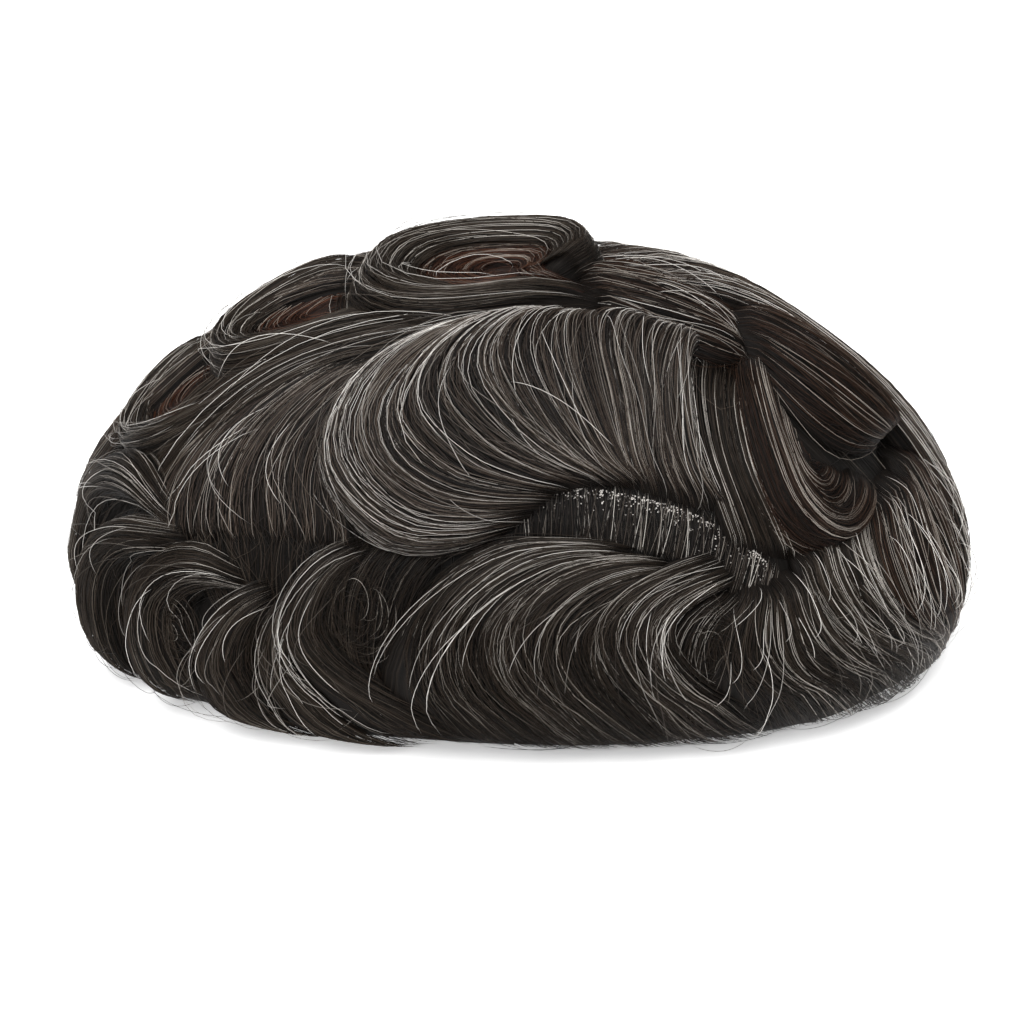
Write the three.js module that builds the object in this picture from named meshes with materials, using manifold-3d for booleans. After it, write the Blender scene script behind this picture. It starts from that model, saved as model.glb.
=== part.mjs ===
// A toupee hairpiece: hair about 15 cm long, knotted into a light domed base and set in waves.
// Millimetres, +Z up. The piece stands on its hem. +X is the back of the head and +Y the far side.
import * as THREE from 'three';
import { mergeVertices } from 'three/addons/utils/BufferGeometryUtils.js';
import Module from 'manifold-3d';

const wasm = await Module();
wasm.setup();

// The base that the hair is knotted into.
const baseLength = 184;
const baseWidth = 132;
const baseCrown = 73;
const baseWall = 1;
const baseEdge = 3;
const rimLift = 8;
const rimLip = 3;

// How far the hair stands off the base at the front and back, at the sides and over the crown.
const endHair = 28;
const sideHair = 21;
const crownHair = 33;

// The belly is the widest line of the hair, and the hem turns under it down to the surface.
const bellyLift = 18.5;
const hemTuck = 8;
const backExtra = 4.5;

// Locks are set on a close bed of hair, stand up from it by lockRise and thin to edgeRise at their sides.
// Each spills under its neighbours by a share of its width.
const lockRise = 9;
const edgeRise = 2;
const clearance = 0.3;
const sideSpill = 0.12;

// Shape of the outer form: how square it is seen from above and how flat over the crown.
const squareness = 2.45;
const crownFlatness = 1.12;

// Shares of the way from crown to hem: where the belly lies, and where the locks end.
const bellyShare = 0.87;
const lockEndShare = 0.97;

// Fineness of the faceted solids.
const spokes = 30;
const bandsPerRow = 1.1;
const smallestFacet = 0.12;
const weldReach = 0.001;

const halfLength = baseLength / 2 + endHair;
const halfWidth = baseWidth / 2 + sideHair;
const crownHeight = baseCrown + crownHair;

// Each lock from its root to its tip. A row is one section of it: the place of its outer side and of its
// inner side on the hair's pattern, and how far it stands up, as a share of lockRise. On the pattern
// along runs from -1 at the front hem to 1 at the back hem, across from -1 at the near hem to 1 at the
// far hem, and 0, 0 is the crown. Columns: outer along, outer across, inner along, inner across, rise.
const lockRows = {
  // The flat curls along the top edge, each a ring that winds into itself.
  crown_curl: [
    [0.12, -0.10, 0.10, -0.04, 0.8],
    [0.03, -0.145, 0.03, -0.07, 0.95],
    [-0.07, -0.16, -0.06, -0.10, 1.05],
    [-0.155, -0.13, -0.11, -0.08, 1.1],
    [-0.21, -0.03, -0.15, -0.02, 1.15],
    [-0.19, 0.09, -0.13, 0.05, 1.2],
    [-0.11, 0.17, -0.08, 0.10, 1.2],
    [-0.01, 0.19, -0.01, 0.11, 1.25],
    [0.07, 0.15, 0.04, 0.10, 1.25],
    [0.105, 0.06, 0.055, 0.04, 1.1],
    [0.07, 0.0, 0.03, 0.0, 0.8],
  ],
  second_curl: [
    [-0.17, -0.13, -0.17, -0.05, 0.7],
    [-0.25, -0.14, -0.24, -0.07, 0.85],
    [-0.33, -0.14, -0.31, -0.07, 0.95],
    [-0.40, -0.10, -0.36, -0.04, 1.05],
    [-0.43, 0.0, -0.38, 0.01, 1.1],
    [-0.41, 0.09, -0.36, 0.05, 1.15],
    [-0.35, 0.15, -0.31, 0.08, 1.15],
    [-0.27, 0.17, -0.26, 0.10, 1.15],
    [-0.20, 0.16, -0.21, 0.10, 1.0],
  ],
  third_curl: [
    [-0.36, -0.20, -0.37, -0.13, 0.7],
    [-0.45, -0.20, -0.44, -0.14, 0.8],
    [-0.53, -0.17, -0.51, -0.12, 0.9],
    [-0.60, -0.08, -0.56, -0.06, 1.0],
    [-0.62, 0.03, -0.56, 0.01, 1.05],
    [-0.58, 0.11, -0.53, 0.06, 1.1],
    [-0.50, 0.15, -0.48, 0.08, 1.1],
    [-0.42, 0.15, -0.42, 0.09, 0.9],
  ],
  // The hair that lies flat between the curls and the wave.
  middle_sweep: [
    [0.10, -0.15, 0.10, -0.08, 0.5],
    [0.0, -0.19, 0.0, -0.12, 0.55],
    [-0.10, -0.22, -0.10, -0.13, 0.6],
    [-0.20, -0.22, -0.20, -0.11, 0.6],
    [-0.30, -0.23, -0.30, -0.09, 0.6],
    [-0.40, -0.26, -0.40, -0.08, 0.6],
    [-0.50, -0.29, -0.50, -0.10, 0.5],
    [-0.57, -0.31, -0.57, -0.14, 0.35],
  ],
  whorl_sweep: [
    [0.09, -0.09, 0.07, 0.08, 0.5],
    [0.16, -0.13, 0.14, 0.11, 0.6],
    [0.22, -0.14, 0.21, 0.12, 0.65],
    [0.28, -0.13, 0.28, 0.11, 0.6],
    [0.33, -0.12, 0.33, 0.08, 0.4],
  ],
  combed_panel: [
    [-0.12, -0.21, -0.17, -0.16, 0.4],
    [-0.20, -0.27, -0.28, -0.19, 0.55],
    [-0.25, -0.35, -0.38, -0.23, 0.6],
    [-0.27, -0.43, -0.45, -0.29, 0.65],
    [-0.27, -0.50, -0.49, -0.36, 0.6],
    [-0.28, -0.55, -0.51, -0.43, 0.4],
  ],
  // The big wave over the parting, in five locks from the outermost one.
  wave_outer: [
    [0.0, -0.56, 0.07, -0.5, 0.5],
    [-0.10, -0.59, -0.02, -0.51, 0.8],
    [-0.19, -0.57, -0.10, -0.49, 1.0],
    [-0.25, -0.48, -0.16, -0.43, 1.1],
    [-0.265, -0.38, -0.175, -0.35, 1.15],
    [-0.22, -0.27, -0.14, -0.27, 1.15],
    [-0.14, -0.21, -0.07, -0.20, 1.0],
    [-0.04, -0.17, 0.0, -0.16, 0.7],
  ],
  wave_second: [
    [0.06, -0.50, 0.16, -0.455, 0.4],
    [-0.03, -0.50, 0.09, -0.44, 0.65],
    [-0.11, -0.47, 0.02, -0.39, 0.85],
    [-0.17, -0.38, -0.03, -0.31, 1.0],
    [-0.15, -0.28, -0.03, -0.24, 1.05],
    [-0.08, -0.20, 0.01, -0.18, 0.95],
    [0.0, -0.16, 0.06, -0.145, 0.7],
  ],
  wave_middle: [
    [0.15, -0.47, 0.20, -0.455, 0.4],
    [0.07, -0.44, 0.16, -0.42, 0.6],
    [0.0, -0.37, 0.135, -0.34, 0.85],
    [-0.035, -0.28, 0.12, -0.26, 1.0],
    [-0.01, -0.20, 0.11, -0.185, 1.0],
    [0.05, -0.15, 0.12, -0.14, 0.75],
  ],
  wave_fourth: [
    [0.17, -0.47, 0.25, -0.475, 0.4],
    [0.14, -0.41, 0.205, -0.42, 0.7],
    [0.12, -0.32, 0.19, -0.33, 0.95],
    [0.105, -0.23, 0.18, -0.25, 1.05],
    [0.115, -0.16, 0.19, -0.18, 1.05],
    [0.15, -0.125, 0.21, -0.14, 0.8],
  ],
  wave_inner: [
    [0.25, -0.48, 0.33, -0.46, 0.4],
    [0.20, -0.40, 0.265, -0.42, 0.7],
    [0.18, -0.32, 0.235, -0.34, 0.95],
    [0.18, -0.24, 0.225, -0.25, 1.05],
    [0.195, -0.165, 0.23, -0.19, 1.05],
    [0.215, -0.13, 0.25, -0.15, 0.8],
  ],
  // The roll behind the crown and the hooked curl under it.
  back_top_lock: [
    [0.31, -0.09, 0.27, 0.13, 0.8],
    [0.36, -0.16, 0.35, 0.17, 1.1],
    [0.42, -0.20, 0.44, 0.17, 1.25],
    [0.48, -0.20, 0.52, 0.13, 1.25],
    [0.53, -0.16, 0.575, 0.07, 1.15],
    [0.56, -0.10, 0.585, 0.0, 0.9],
  ],
  side_curl: [
    [0.31, -0.10, 0.355, -0.12, 0.8],
    [0.285, -0.18, 0.335, -0.19, 1.0],
    [0.29, -0.27, 0.345, -0.27, 1.1],
    [0.31, -0.35, 0.37, -0.33, 1.1],
    [0.35, -0.43, 0.395, -0.365, 1.1],
    [0.41, -0.465, 0.43, -0.38, 1.1],
    [0.475, -0.445, 0.46, -0.365, 1.0],
    [0.515, -0.37, 0.48, -0.32, 0.9],
    [0.53, -0.28, 0.49, -0.25, 0.8],
  ],
  // The curls of the front and of the near hem.
  front_roll: [
    [-0.49, -0.39, -0.50, -0.42, 0.6],
    [-0.51, -0.27, -0.55, -0.32, 0.9],
    [-0.55, -0.16, -0.60, -0.24, 1.0],
    [-0.61, -0.06, -0.65, -0.17, 1.1],
    [-0.69, 0.03, -0.71, -0.12, 1.1],
    [-0.78, 0.06, -0.78, -0.11, 1.0],
    [-0.87, 0.04, -0.86, -0.14, 1.0],
    [-0.96, -0.02, -0.94, -0.20, 0.6],
  ],
  front_curl: [
    [-0.47, -0.41, -0.47, -0.47, 0.6],
    [-0.54, -0.34, -0.54, -0.42, 0.9],
    [-0.61, -0.27, -0.61, -0.38, 1.05],
    [-0.69, -0.22, -0.67, -0.38, 1.1],
    [-0.78, -0.23, -0.73, -0.42, 1.05],
    [-0.85, -0.30, -0.77, -0.49, 1.0],
    [-0.88, -0.38, -0.79, -0.56, 0.6],
  ],
  corner_curl: [
    [-0.40, -0.54, -0.40, -0.58, 0.6],
    [-0.45, -0.45, -0.45, -0.54, 0.9],
    [-0.52, -0.41, -0.50, -0.52, 1.05],
    [-0.60, -0.42, -0.55, -0.53, 1.1],
    [-0.68, -0.48, -0.58, -0.58, 1.1],
    [-0.73, -0.55, -0.60, -0.64, 1.0],
    [-0.74, -0.62, -0.60, -0.72, 0.6],
  ],
  hem_curl: [
    [-0.36, -0.55, -0.36, -0.60, 0.6],
    [-0.43, -0.55, -0.41, -0.62, 0.9],
    [-0.50, -0.58, -0.45, -0.66, 1.05],
    [-0.57, -0.63, -0.48, -0.71, 1.1],
    [-0.61, -0.69, -0.49, -0.77, 1.0],
    [-0.59, -0.75, -0.46, -0.85, 0.6],
  ],
  hem_lock: [
    [-0.34, -0.57, -0.30, -0.60, 0.6],
    [-0.40, -0.62, -0.35, -0.66, 0.85],
    [-0.44, -0.68, -0.37, -0.72, 0.95],
    [-0.46, -0.75, -0.37, -0.78, 0.95],
    [-0.46, -0.81, -0.35, -0.85, 0.9],
    [-0.44, -0.86, -0.33, -0.91, 0.5],
  ],
  wave_curl: [
    [-0.22, -0.52, -0.20, -0.57, 0.6],
    [-0.29, -0.54, -0.25, -0.59, 0.9],
    [-0.35, -0.59, -0.28, -0.63, 1.05],
    [-0.385, -0.66, -0.30, -0.68, 1.1],
    [-0.38, -0.74, -0.29, -0.75, 1.05],
    [-0.35, -0.82, -0.26, -0.83, 1.0],
    [-0.31, -0.90, -0.22, -0.91, 0.5],
  ],
  // The largest wave of the near hem, in three locks.
  side_outer: [
    [0.20, -0.555, 0.20, -0.585, 0.4],
    [0.08, -0.565, 0.10, -0.60, 0.7],
    [-0.03, -0.58, 0.03, -0.64, 1.0],
    [-0.14, -0.64, -0.04, -0.70, 1.15],
    [-0.22, -0.72, -0.08, -0.78, 1.2],
    [-0.265, -0.82, -0.08, -0.87, 1.1],
    [-0.25, -0.92, -0.04, -0.96, 0.6],
  ],
  side_middle: [
    [0.25, -0.565, 0.27, -0.58, 0.4],
    [0.14, -0.585, 0.20, -0.61, 0.7],
    [0.04, -0.63, 0.14, -0.66, 0.95],
    [-0.03, -0.70, 0.10, -0.72, 1.05],
    [-0.06, -0.78, 0.10, -0.79, 1.1],
    [-0.04, -0.87, 0.13, -0.87, 1.0],
    [0.03, -0.96, 0.20, -0.94, 0.6],
  ],
  side_inner: [
    [0.31, -0.525, 0.35, -0.56, 0.5],
    [0.23, -0.58, 0.30, -0.60, 0.85],
    [0.165, -0.64, 0.26, -0.65, 1.0],
    [0.13, -0.71, 0.25, -0.70, 1.05],
    [0.14, -0.79, 0.27, -0.76, 1.0],
    [0.18, -0.87, 0.32, -0.82, 0.9],
    [0.25, -0.93, 0.39, -0.87, 0.6],
  ],
  // The locks that fall down the back, from the near hem round to the back of the head.
  back_sweep: [
    [0.35, -0.56, 0.39, -0.54, 0.6],
    [0.32, -0.64, 0.42, -0.60, 0.85],
    [0.31, -0.72, 0.46, -0.66, 1.0],
    [0.32, -0.80, 0.51, -0.71, 1.0],
    [0.34, -0.90, 0.60, -0.76, 0.6],
  ],
  back_lock_one: [
    [0.39, -0.53, 0.43, -0.49, 0.6],
    [0.42, -0.59, 0.46, -0.55, 0.85],
    [0.47, -0.64, 0.52, -0.59, 1.0],
    [0.54, -0.69, 0.60, -0.62, 1.0],
    [0.62, -0.74, 0.71, -0.65, 0.6],
  ],
  back_lock_two: [
    [0.41, -0.47, 0.45, -0.40, 0.6],
    [0.44, -0.53, 0.47, -0.47, 0.85],
    [0.50, -0.57, 0.54, -0.53, 1.0],
    [0.58, -0.60, 0.63, -0.56, 1.0],
    [0.72, -0.63, 0.78, -0.57, 0.6],
  ],
  back_lock_three: [
    [0.45, -0.40, 0.49, -0.30, 0.6],
    [0.47, -0.47, 0.51, -0.40, 0.85],
    [0.54, -0.53, 0.58, -0.47, 1.0],
    [0.63, -0.56, 0.68, -0.50, 1.0],
    [0.78, -0.57, 0.83, -0.49, 0.6],
  ],
  back_lock_four: [
    [0.50, -0.30, 0.57, -0.21, 0.6],
    [0.52, -0.40, 0.58, -0.33, 0.85],
    [0.59, -0.47, 0.64, -0.41, 1.0],
    [0.68, -0.50, 0.74, -0.44, 1.0],
    [0.83, -0.49, 0.88, -0.38, 0.6],
  ],
  back_lock_five: [
    [0.56, -0.20, 0.61, -0.10, 0.7],
    [0.58, -0.31, 0.64, -0.22, 0.9],
    [0.65, -0.39, 0.70, -0.30, 1.0],
    [0.75, -0.42, 0.80, -0.33, 1.0],
    [0.88, -0.40, 0.93, -0.27, 0.6],
  ],
  back_lock_six: [
    [0.58, -0.08, 0.62, 0.02, 0.7],
    [0.63, -0.20, 0.69, -0.08, 0.9],
    [0.71, -0.27, 0.77, -0.15, 1.0],
    [0.80, -0.31, 0.86, -0.20, 1.0],
    [0.92, -0.30, 0.96, -0.14, 0.6],
  ],
  back_lock_seven: [
    [0.60, 0.02, 0.63, 0.13, 0.8],
    [0.69, -0.06, 0.73, 0.06, 1.0],
    [0.78, -0.13, 0.82, 0.0, 1.0],
    [0.86, -0.17, 0.90, -0.04, 1.0],
    [0.96, -0.17, 0.97, -0.03, 0.6],
  ],
};

// The waves of the far side are alike, set side by side round the back of the curls. Headings are in
// degrees round the crown from the back of the head, and the rest are shares of the pattern.
const farWaveCount = 11;
const farWaveFrom = 4;
const farWaveTo = 173;
const farWaveRoot = 0.15;
const farWaveOverlap = 0.05;
const farWaveSwing = 7;
const farWaveRises = [0.5, 0.95, 0.8, 0.95, 1.05, 0.6];

function farWaveRows(index) {
  const spacing = (farWaveTo - farWaveFrom) / farWaveCount;
  const first = farWaveFrom + spacing * (index - farWaveOverlap);
  const second = first + spacing * (1 + 2 * farWaveOverlap);
  return farWaveRises.map((rise, row) => {
    const share = row / (farWaveRises.length - 1);
    const reach = farWaveRoot + (lockEndShare - farWaveRoot) * share;
    const swing = farWaveSwing * Math.sin(share * Math.PI * 2 + index);
    const sides = [first, second].map((heading) => THREE.MathUtils.degToRad(heading + swing));
    const places = sides.flatMap((heading) => [reach * Math.cos(heading), reach * Math.sin(heading)]);
    return [...places, rise];
  });
}

// The direction of a spoke of the outline, and how far the rounded corners push it out.
function outline(heading) {
  const forward = Math.cos(heading);
  const sideways = Math.sin(heading);
  const corner = (Math.abs(forward) ** squareness + Math.abs(sideways) ** squareness) ** (-1 / squareness);
  return { forward: forward * corner, sideways: sideways * corner, lean: forward };
}

// A place on the hair, given on its pattern. The inset is how deep it lies under the outer form.
function hairPoint(along, across, inset) {
  const reach = Math.min(Math.hypot(along, across), 1);
  const { forward, sideways, lean } = outline(Math.atan2(across, along));
  const rise = Math.min(reach / bellyShare, 1) * Math.PI / 2;
  const turn = Math.max((reach - bellyShare) / (1 - bellyShare), 0) * Math.PI / 2;
  const spread = Math.sin(rise) ** crownFlatness;
  const dome = (crownHeight - inset - bellyLift) * Math.max(Math.cos(rise), 0) ** crownFlatness;
  const shrink = inset + hemTuck * (1 - Math.cos(turn));
  return new THREE.Vector3(
    (halfLength - shrink) * forward * spread,
    (halfWidth - shrink + backExtra * lean * spread) * sideways * spread,
    dome + bellyLift * (1 - Math.sin(turn)),
  );
}

// A place on the base, from its crown at a reach of 0 to its rim at 1, moved out by a margin.
function basePoint(reach, heading, margin) {
  const { forward, sideways, lean } = outline(heading);
  const rise = reach * Math.PI / 2;
  const spread = Math.sin(rise) ** crownFlatness;
  const rim = rimLift + baseEdge;
  return new THREE.Vector3(
    (baseLength / 2 + margin) * forward * spread,
    (baseWidth / 2 + margin + backExtra * lean * spread) * sideways * spread,
    rim + (baseCrown + margin - rim) * Math.max(Math.cos(rise), 0) ** crownFlatness,
  );
}

// A closed solid through rings of points, with a point to close each end and its faces turned out.
function loft(rings, startPoint, endPoint) {
  const count = rings[0].length;
  const points = [startPoint, ...rings.flat(), endPoint];
  const last = points.length - 1;
  const faces = [];
  for (let i = 0; i < count; i += 1) {
    const next = (i + 1) % count;
    faces.push([0, 1 + i, 1 + next]);
    for (let ring = 0; ring + 1 < rings.length; ring += 1) {
      const near = 1 + ring * count;
      const far = near + count;
      faces.push([near + i, far + i, far + next]);
      faces.push([near + i, far + next, near + next]);
    }
    faces.push([last, last - count + next, last - count + i]);
  }
  const corners = new THREE.Vector3();
  const volume = faces.reduce((sum, [a, b, c]) => (
    sum + corners.crossVectors(points[b], points[c]).dot(points[a])
  ), 0);
  if (volume < 0) {
    faces.forEach((face) => face.reverse());
  }
  return new wasm.Manifold(new wasm.Mesh({
    numProp: 3,
    vertProperties: Float32Array.from(points.flatMap((point) => point.toArray())),
    triVerts: Uint32Array.from(faces.flat()),
  }));
}

function middleOf(points) {
  const sum = new THREE.Vector3();
  points.forEach((point) => sum.add(point));
  return sum.divideScalar(points.length);
}

function join(solids) {
  return solids.reduce((whole, solid) => whole.add(solid));
}

function geometryOf(solid) {
  const surface = solid.getMesh();
  const geometry = new THREE.BufferGeometry();
  geometry.setAttribute('position', new THREE.BufferAttribute(surface.vertProperties, 3));
  geometry.setIndex(new THREE.BufferAttribute(surface.triVerts, 1));
  return mergeVertices(geometry, weldReach);
}

function solidOf(geometry) {
  return new wasm.Manifold(new wasm.Mesh({
    numProp: 3,
    vertProperties: geometry.getAttribute('position').array,
    triVerts: Uint32Array.from(geometry.getIndex().array),
  }));
}

// A cut surface without its tiniest facets. Where the cut leaves loose shavings, only the main body is kept.
function mainBody(solid) {
  const welded = solidOf(geometryOf(solid.simplify(smallestFacet)));
  return welded.decompose().reduce((best, body) => (body.volume() > best.volume() ? body : best));
}

const headings = Array.from({ length: spokes }, (_, i) => (i / spokes) * Math.PI * 2);

// The solid dome of hair at an inset, from the crown down to the surface.
function hairDome(inset) {
  const reaches = [0.12, 0.25, 0.38, 0.5, 0.62, 0.74, bellyShare, 0.94, 1];
  const rings = reaches.map((reach) => headings.map(
    (heading) => hairPoint(reach * Math.cos(heading), reach * Math.sin(heading), inset),
  ));
  return loft(rings, hairPoint(0, 0, inset), new THREE.Vector3(0, 0, 0));
}

// The solid dome of the base moved out by a margin, with its upright edge carried down to a height.
function baseDome(margin, edgeHeight) {
  const reaches = [0.14, 0.29, 0.44, 0.58, 0.72, 0.86, 1];
  const rings = reaches.map((reach) => headings.map((heading) => basePoint(reach, heading, margin)));
  rings.push(headings.map((heading) => basePoint(1, heading, margin).setZ(edgeHeight)));
  return loft(rings, basePoint(0, 0, margin), new THREE.Vector3(0, 0, edgeHeight));
}

// The hole in the foot of the hair that the head goes through, a lip smaller than the rim of the base.
function footOpening() {
  const rings = [rimLift, -rimLift].map((height) => headings.map(
    (heading) => basePoint(1, heading, -rimLip).setZ(height),
  ));
  return loft(rings, new THREE.Vector3(0, 0, rimLift), new THREE.Vector3(0, 0, -rimLift));
}

// The thin base, open underneath.
function makeBase() {
  return baseDome(0, rimLift).subtract(baseDome(-baseWall, 0));
}

// The close hair round the base. Its foot turns in under the rim, and the whole piece stands on it.
function makeBed() {
  const hollow = baseDome(clearance, rimLift - clearance).add(footOpening());
  return hairDome(lockRise).subtract(hollow);
}

// One section across a lock: a crowned top between two thin sides, and a foot sunk into the bed. The
// columns are the share of the lock's width and the share of its height.
const sectionShape = [
  [0, 0],
  [0.2, 0.75],
  [0.5, 1],
  [0.8, 0.75],
  [1, 0],
];

// The locks stop a little above the surface, so that the bed carries the piece.
function patternPlace(outer, inner, share) {
  const along = THREE.MathUtils.lerp(outer.x, inner.x, share);
  const across = THREE.MathUtils.lerp(outer.y, inner.y, share);
  const reach = Math.hypot(along, across);
  const scale = Math.min(1, lockEndShare / reach);
  return [along * scale, across * scale];
}

function lockSection(outer, inner, margin) {
  const width = hairPoint(outer.x, outer.y, 0).distanceTo(hairPoint(inner.x, inner.y, 0));
  const spill = sideSpill + margin / width;
  const crest = Math.max(lockRise * outer.z - edgeRise, 0);
  const top = sectionShape.map(([share, height]) => {
    const place = patternPlace(outer, inner, share + (share - 0.5) * 2 * spill);
    return hairPoint(...place, lockRise - edgeRise - crest * height - margin);
  });
  const foot = [1 + spill, -spill].map((share) => (
    hairPoint(...patternPlace(outer, inner, share), lockRise + edgeRise)
  ));
  return [...top, ...foot];
}

// A lock lofted through its rows. With a margin it is the room that the lock needs among others.
function lockSolid(rows, margin) {
  const sides = [[0, 1], [2, 3]].map(([along, across]) => new THREE.CatmullRomCurve3(
    rows.map((row) => new THREE.Vector3(row[along], row[across], row[4])), false, 'catmullrom',
  ));
  const bands = Math.round((rows.length - 1) * bandsPerRow);
  const rings = Array.from({ length: bands + 1 }, (_, i) => (
    lockSection(sides[0].getPoint(i / bands), sides[1].getPoint(i / bands), margin)
  ));
  if (margin > 0) {
    rings.unshift(reachPast(rings[0], rings[1], margin));
    rings.push(reachPast(rings[bands + 1], rings[bands], margin));
  }
  return loft(rings, middleOf(rings[0]), middleOf(rings[rings.length - 1]));
}

// A ring set a margin past another one, in line with the ring before it.
function reachPast(ring, before, margin) {
  return ring.map((point, i) => {
    const step = point.clone().sub(before[i]).setLength(margin);
    return step.add(point);
  });
}

const farWaves = Array.from({ length: farWaveCount }, (_, index) => farWaveRows(index));
const hairBrown = 0x3d3934;

// The pieces of hair from the topmost down. Each is its locks fused together, cut clear of those above.
const hairPieces = [
  ['parting_wave', ['wave_inner', 'wave_fourth', 'wave_middle', 'wave_second', 'wave_outer']],
  ['crown_curl', ['crown_curl']],
  ['second_curl', ['second_curl']],
  ['third_curl', ['third_curl']],
  ['side_curl', ['side_curl']],
  ['back_top_lock', ['back_top_lock']],
  ['side_wave', ['side_outer', 'side_middle', 'side_inner']],
  ['front_curls', ['front_roll', 'front_curl', 'corner_curl', 'hem_curl', 'hem_lock', 'wave_curl']],
  ['back_fall', ['back_sweep', 'back_lock_one', 'back_lock_two', 'back_lock_three', 'back_lock_four',
    'back_lock_five', 'back_lock_six', 'back_lock_seven']],
  ['whorl_sweep', ['whorl_sweep']],
  ['crown_sweep', ['middle_sweep', 'combed_panel']],
  ['far_waves', null],
];

function makeHairPieces() {
  const bedRoom = hairDome(lockRise - clearance);
  let taken = bedRoom;
  return hairPieces.map(([name, lockNames]) => {
    const locks = lockNames ? lockNames.map((lockName) => lockRows[lockName]) : farWaves;
    const whole = join(locks.map((rows) => lockSolid(rows, 0)));
    const piece = mainBody(whole.subtract(taken));
    taken = join([taken, ...locks.map((rows) => lockSolid(rows, clearance))]);
    return [name, piece, hairBrown];
  });
}

const pieces = [
  ['base_cap', makeBase(), 0x4a4038],
  ['hair_bed', makeBed(), 0x2c2926],
  ...makeHairPieces(),
];

const toupee = new THREE.Group();
for (const [name, solid, color] of pieces) {
  const geometry = geometryOf(solid);
  geometry.computeVertexNormals();
  const part = new THREE.Mesh(geometry, new THREE.MeshStandardMaterial({ color, roughness: 0.5 }));
  part.name = name;
  toupee.add(part);
}
export default toupee;
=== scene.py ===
# A toupee hairpiece, dark brown streaked with grey, set in waves and curls and standing on its hem.
# Metres, +Z up. +X is the back of the head and +Y the far side from the parting.
import math

import bpy
import numpy as np
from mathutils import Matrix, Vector


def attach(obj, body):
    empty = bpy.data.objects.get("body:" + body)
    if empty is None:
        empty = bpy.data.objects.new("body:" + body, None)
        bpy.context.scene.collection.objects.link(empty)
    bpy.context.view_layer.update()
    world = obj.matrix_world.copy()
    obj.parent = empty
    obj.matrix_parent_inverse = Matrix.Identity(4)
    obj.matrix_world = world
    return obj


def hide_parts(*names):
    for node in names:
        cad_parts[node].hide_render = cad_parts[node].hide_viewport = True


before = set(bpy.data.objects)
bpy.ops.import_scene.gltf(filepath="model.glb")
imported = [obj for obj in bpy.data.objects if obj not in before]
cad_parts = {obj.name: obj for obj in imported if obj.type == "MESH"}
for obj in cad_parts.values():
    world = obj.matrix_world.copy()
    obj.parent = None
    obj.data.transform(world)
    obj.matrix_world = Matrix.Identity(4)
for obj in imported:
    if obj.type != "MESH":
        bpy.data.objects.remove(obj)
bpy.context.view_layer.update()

# The base: the thin domed net that all the hair is knotted into. It is a fine brown lace, left bare
# on the inside, where the head goes, and its own solid is shown with a woven finish.
LACE_PITCH = 0.0012
LACE_DEPTH = 0.0003
LACE_CLOUDS = 60.0
NOISE_DETAIL = 3.0
LACE_SOFTNESS = 0.15
LACE_SHEEN = 0.3
LACE_ROUGHNESS, LACE_ROUGHNESS_RANGE = 0.6, 0.25
THREAD_EDGE, HOLE_EDGE = 0.06, 0.3
THREAD_COLOUR, HOLE_COLOUR = (168, 142, 118), (74, 56, 46)


def paint(red, green, blue):
    """A colour given as 0 to 255 for each part, turned into what a shader takes."""
    shares = [part / 255 for part in (red, green, blue)]
    return (*[part / 12.92 if part < 0.04 else ((part + 0.055) / 1.055) ** 2.4
              for part in shares], 1)


class Wire:
    """A node's output that can be used in Python expressions."""

    def __init__(self, tree, socket=None):
        self.tree = tree
        self.socket = socket

    def node(self, kind, settings=None, sockets=None, out=0):
        """A new node's output. Its sockets take either values or other outputs."""
        made = self.tree.nodes.new(kind)
        for name, value in (settings or {}).items():
            if name == "stops":
                ramp = made.color_ramp.elements
                ramp.remove(ramp[1])
                ramp[0].position, ramp[0].color = value[0][0], paint(*value[0][1])
                for place, colour in value[1:]:
                    ramp.new(place).color = paint(*colour)
            else:
                setattr(made, name, value)
        for name, value in (sockets or {}).items():
            if isinstance(value, Wire):
                self.tree.links.new(value.socket, made.inputs[name])
            else:
                made.inputs[name].default_value = value
        return Wire(self.tree, made.outputs[out])

    def noise(self, place, scale, detail):
        return self.node("ShaderNodeTexNoise", None,
                         {"Vector": place, "Scale": scale, "Detail": detail})

    def ramp(self, stops, value):
        return self.node("ShaderNodeValToRGB", {"stops": stops}, {"Fac": value})

    def math(self, operation, first, second):
        return self.node("ShaderNodeMath", {"operation": operation}, {0: first, 1: second})

    def __add__(self, other):
        return self.math("ADD", self, other)

    def __radd__(self, other):
        return self.math("ADD", other, self)

    def __sub__(self, other):
        return self.math("SUBTRACT", self, other)

    def __rsub__(self, other):
        return self.math("SUBTRACT", other, self)

    def __mul__(self, other):
        return self.math("MULTIPLY", self, other)

    def __rmul__(self, other):
        return self.math("MULTIPLY", other, self)


def start_material(name, specular):
    """An empty material's wires and its shader."""
    material = bpy.data.materials.new(name)
    material.use_nodes = True
    shader = material.node_tree.nodes["Principled BSDF"]
    shader.inputs["Specular IOR Level"].default_value = specular
    return material, Wire(material.node_tree), shader


def feed(wires, shader, colour, roughness, height, depth):
    """Leads a finish to its shader: colour, roughness, and a height that turns into a bump."""
    bump = wires.node("ShaderNodeBump", None, {"Height": height, "Distance": depth})
    for name, wire in (("Base Color", colour), ("Roughness", roughness), ("Normal", bump)):
        wires.tree.links.new(wire.socket, shader.inputs[name])


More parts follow.
